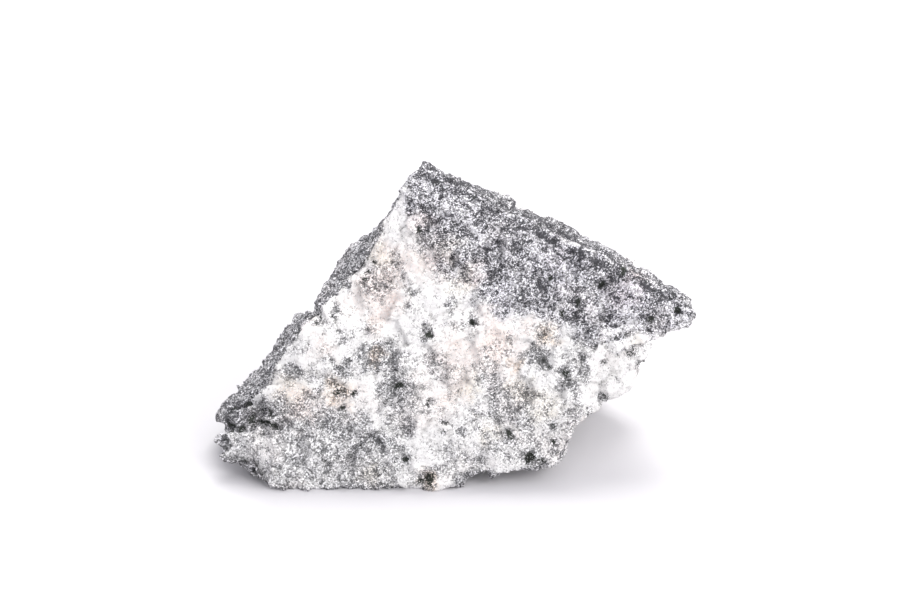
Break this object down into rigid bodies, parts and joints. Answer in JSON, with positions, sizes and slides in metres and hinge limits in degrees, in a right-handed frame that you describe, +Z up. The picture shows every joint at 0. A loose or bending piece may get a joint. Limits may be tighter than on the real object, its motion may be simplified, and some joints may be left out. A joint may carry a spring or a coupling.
{
  "type": "rough rock",
  "caption": "Rough broken piece of grey and white granite-like rock, with a broad flat front, a pointed beak on the right and a low toe on the left, lying on its flat underside.",
  "frame": {"origin": "middle of the overall box, on the resting plane", "axes": "+Z up, +X along the stone from its low toe to the tip of its beak, +Y from its broad front face towards its back"},
  "size_m": [0.09, 0.048, 0.052],
  "materials": {
    "stone": "rough, freshly broken, crystalline"
  },
  "bodies": {
    "root": {"rock": "stone"}
  },
  "joints": []
}
